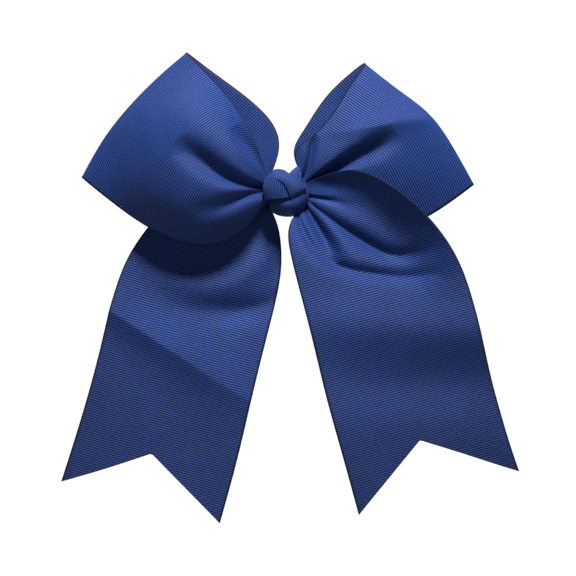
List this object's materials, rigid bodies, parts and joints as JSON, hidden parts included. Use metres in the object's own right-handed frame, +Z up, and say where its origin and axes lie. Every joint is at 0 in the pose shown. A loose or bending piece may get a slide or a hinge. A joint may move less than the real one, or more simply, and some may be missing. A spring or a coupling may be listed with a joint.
{
  "type": "cheer hair bow",
  "caption": "Large cheerleading hair bow of wide navy grosgrain ribbon: pinched loops, hanging swallow-tail ends, tied centre knot, spring hair clip behind.",
  "frame": {"origin": "on the clip's closing plane, behind the middle of the knot, where the lock of hair is gripped", "axes": "+Z up as worn, +X towards the right of the picture, +Y from the bow towards the head, so the bow faces -Y"},
  "size_m": [0.2095, 0.0423, 0.2128],
  "materials": {
    "main_ribbon": "ribbed grosgrain, soft sheen",
    "knot_ribbon": "ribbed grosgrain, soft sheen",
    "liner_ribbon": "ribbed grosgrain, soft sheen",
    "thread": "waxed polyester thread",
    "hot_melt_glue": "cloudy hot-melt glue",
    "clip_steel": "nickel-plated sheet steel",
    "pin_steel": "nickel-plated pin",
    "spring_steel": "bare spring wire"
  },
  "bodies": {
    "bow": {"left_loop": "main_ribbon", "right_loop": "main_ribbon", "left_tail_root": "main_ribbon", "right_tail_root": "main_ribbon", "waist_back_ply": "main_ribbon", "waist_middle_ply": "main_ribbon", "waist_front_ply": "main_ribbon", "binding_thread": "thread", "knot_upper_leg": "knot_ribbon", "knot_lower_leg": "knot_ribbon", "knot": "knot_ribbon", "glue_bead": "hot_melt_glue", "clip_liner": "liner_ribbon", "clip_top_jaw": "clip_steel", "hinge_pin": "pin_steel", "torsion_spring": "spring_steel"},
    "prong_jaw": {"clip_prong_jaw": "clip_steel"},
    "left_tail_end": {"left_tail": "main_ribbon"},
    "right_tail_end": {"right_tail": "main_ribbon"}
  },
  "joints": [
    {"name": "clip_jaw", "type": "hinge", "parent": "bow", "child": "prong_jaw", "pos_m": [0.021, -0.00195, 0], "axis": [0, 0, -1], "range_deg": [0, 30], "stiffness_Nm_per_rad": 0.2, "springref_deg": -28.65, "deforming": ["torsion_spring"]},
    {"name": "left_tail_flex", "type": "hinge", "parent": "bow", "child": "left_tail_end", "pos_m": [-0.0454, -0.0105, -0.0522], "axis": [0.9659, 0, -0.2588], "range_deg": [-45, 45], "stiffness_Nm_per_rad": 0.003},
    {"name": "right_tail_flex", "type": "hinge", "parent": "bow", "child": "right_tail_end", "pos_m": [0.0454, -0.032, -0.0522], "axis": [0.9659, 0, 0.2588], "range_deg": [-45, 45], "stiffness_Nm_per_rad": 0.003}
  ]
}
